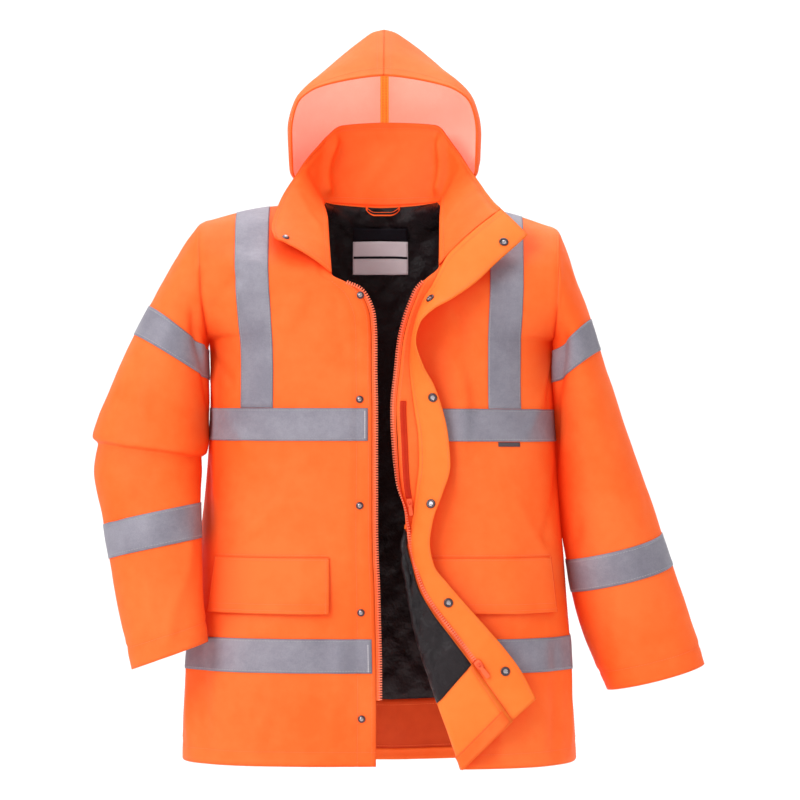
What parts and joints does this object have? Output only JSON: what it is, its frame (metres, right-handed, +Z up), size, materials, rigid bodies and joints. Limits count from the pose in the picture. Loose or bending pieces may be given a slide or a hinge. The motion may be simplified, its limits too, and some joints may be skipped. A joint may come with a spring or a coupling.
{
  "type": "hi-vis work jacket",
  "caption": "Padded hip length hi-vis work jacket with hood, stand collar, reflective tape, storm flap and pocket flaps, worn shape with its front open.",
  "frame": {"origin": "inside the back neck, level with the front end of the shoulder seams at the neck, where the wearer's neck and shoulders hold the jacket up", "axes": "+Z up, -Y the way the front faces, -X the wearer's right"},
  "size_m": [0.918, 0.3579, 1.1227],
  "materials": {
    "shell_cloth": "coated orange cloth, matt",
    "inner_cloth": "inner face of the coated cloth, lighter orange",
    "quilted_lining": "black quilted lining",
    "reflective_tape": "silver grey reflective tape",
    "zip": "orange moulded teeth on tape, orange lacquered sliders",
    "label": "plain woven label",
    "metal": "gunmetal"
  },
  "bodies": {
    "jacket": {"back_panel": "shell_cloth", "brace_back_left": "reflective_tape", "brace_back_right": "reflective_tape", "brace_left": "reflective_tape", "brace_right": "reflective_tape", "care_label": "label", "chest_tab": "quilted_lining", "chest_tape_back": "reflective_tape", "chest_tape_left": "reflective_tape", "chest_tape_right": "reflective_tape", "collar": "shell_cloth", "front_left": "shell_cloth", "front_right": "shell_cloth", "hanging_loop": "inner_cloth", "hem_facing_back": "inner_cloth", "hem_facing_left": "inner_cloth", "hem_facing_right": "inner_cloth", "hem_tape_back": "reflective_tape", "hem_tape_left": "reflective_tape", "hem_tape_right": "reflective_tape", "hood": "shell_cloth", "lining_back": "quilted_lining", "lining_left": "quilted_lining", "lining_right": "quilted_lining", "neck_label": "quilted_lining", "pocket_flap_left": "shell_cloth", "pocket_flap_right": "shell_cloth", "pocket_zip": "zip", "pocket_zip_slider": "zip", "sleeve_left": "shell_cloth", "sleeve_right": "shell_cloth", "sleeve_tape_left_lower": "reflective_tape", "sleeve_tape_left_upper": "reflective_tape", "sleeve_tape_right_lower": "reflective_tape", "sleeve_tape_right_upper": "reflective_tape", "socket_1": "metal", "socket_2": "metal", "socket_3": "metal", "socket_4": "metal", "socket_5": "metal", "socket_6": "metal", "storm_flap": "inner_cloth", "stud_1": "metal", "stud_2": "metal", "stud_3": "metal", "stud_4": "metal", "stud_5": "metal", "stud_6": "metal", "zip_left": "zip", "zip_right": "zip", "zip_slider": "zip"},
    "zip_pull_tab": {"zip_pull_tab": "zip"},
    "pocket_zip_pull_tab": {"pocket_zip_pull_tab": "zip"}
  },
  "joints": [
    {"name": "zip_pull_tab_hinge", "type": "hinge", "parent": "jacket", "child": "zip_pull_tab", "pos_m": [0.14532, -0.155, -0.68039], "axis": [-0.7933, 0.0604, -0.6058], "range_deg": [0, 110]},
    {"name": "pocket_zip_pull_tab_hinge", "type": "hinge", "parent": "jacket", "child": "pocket_zip_pull_tab", "pos_m": [0.04422, -0.13003, -0.44484], "axis": [-0.9908, -0.0415, -0.1291], "range_deg": [0, 110]}
  ]
}
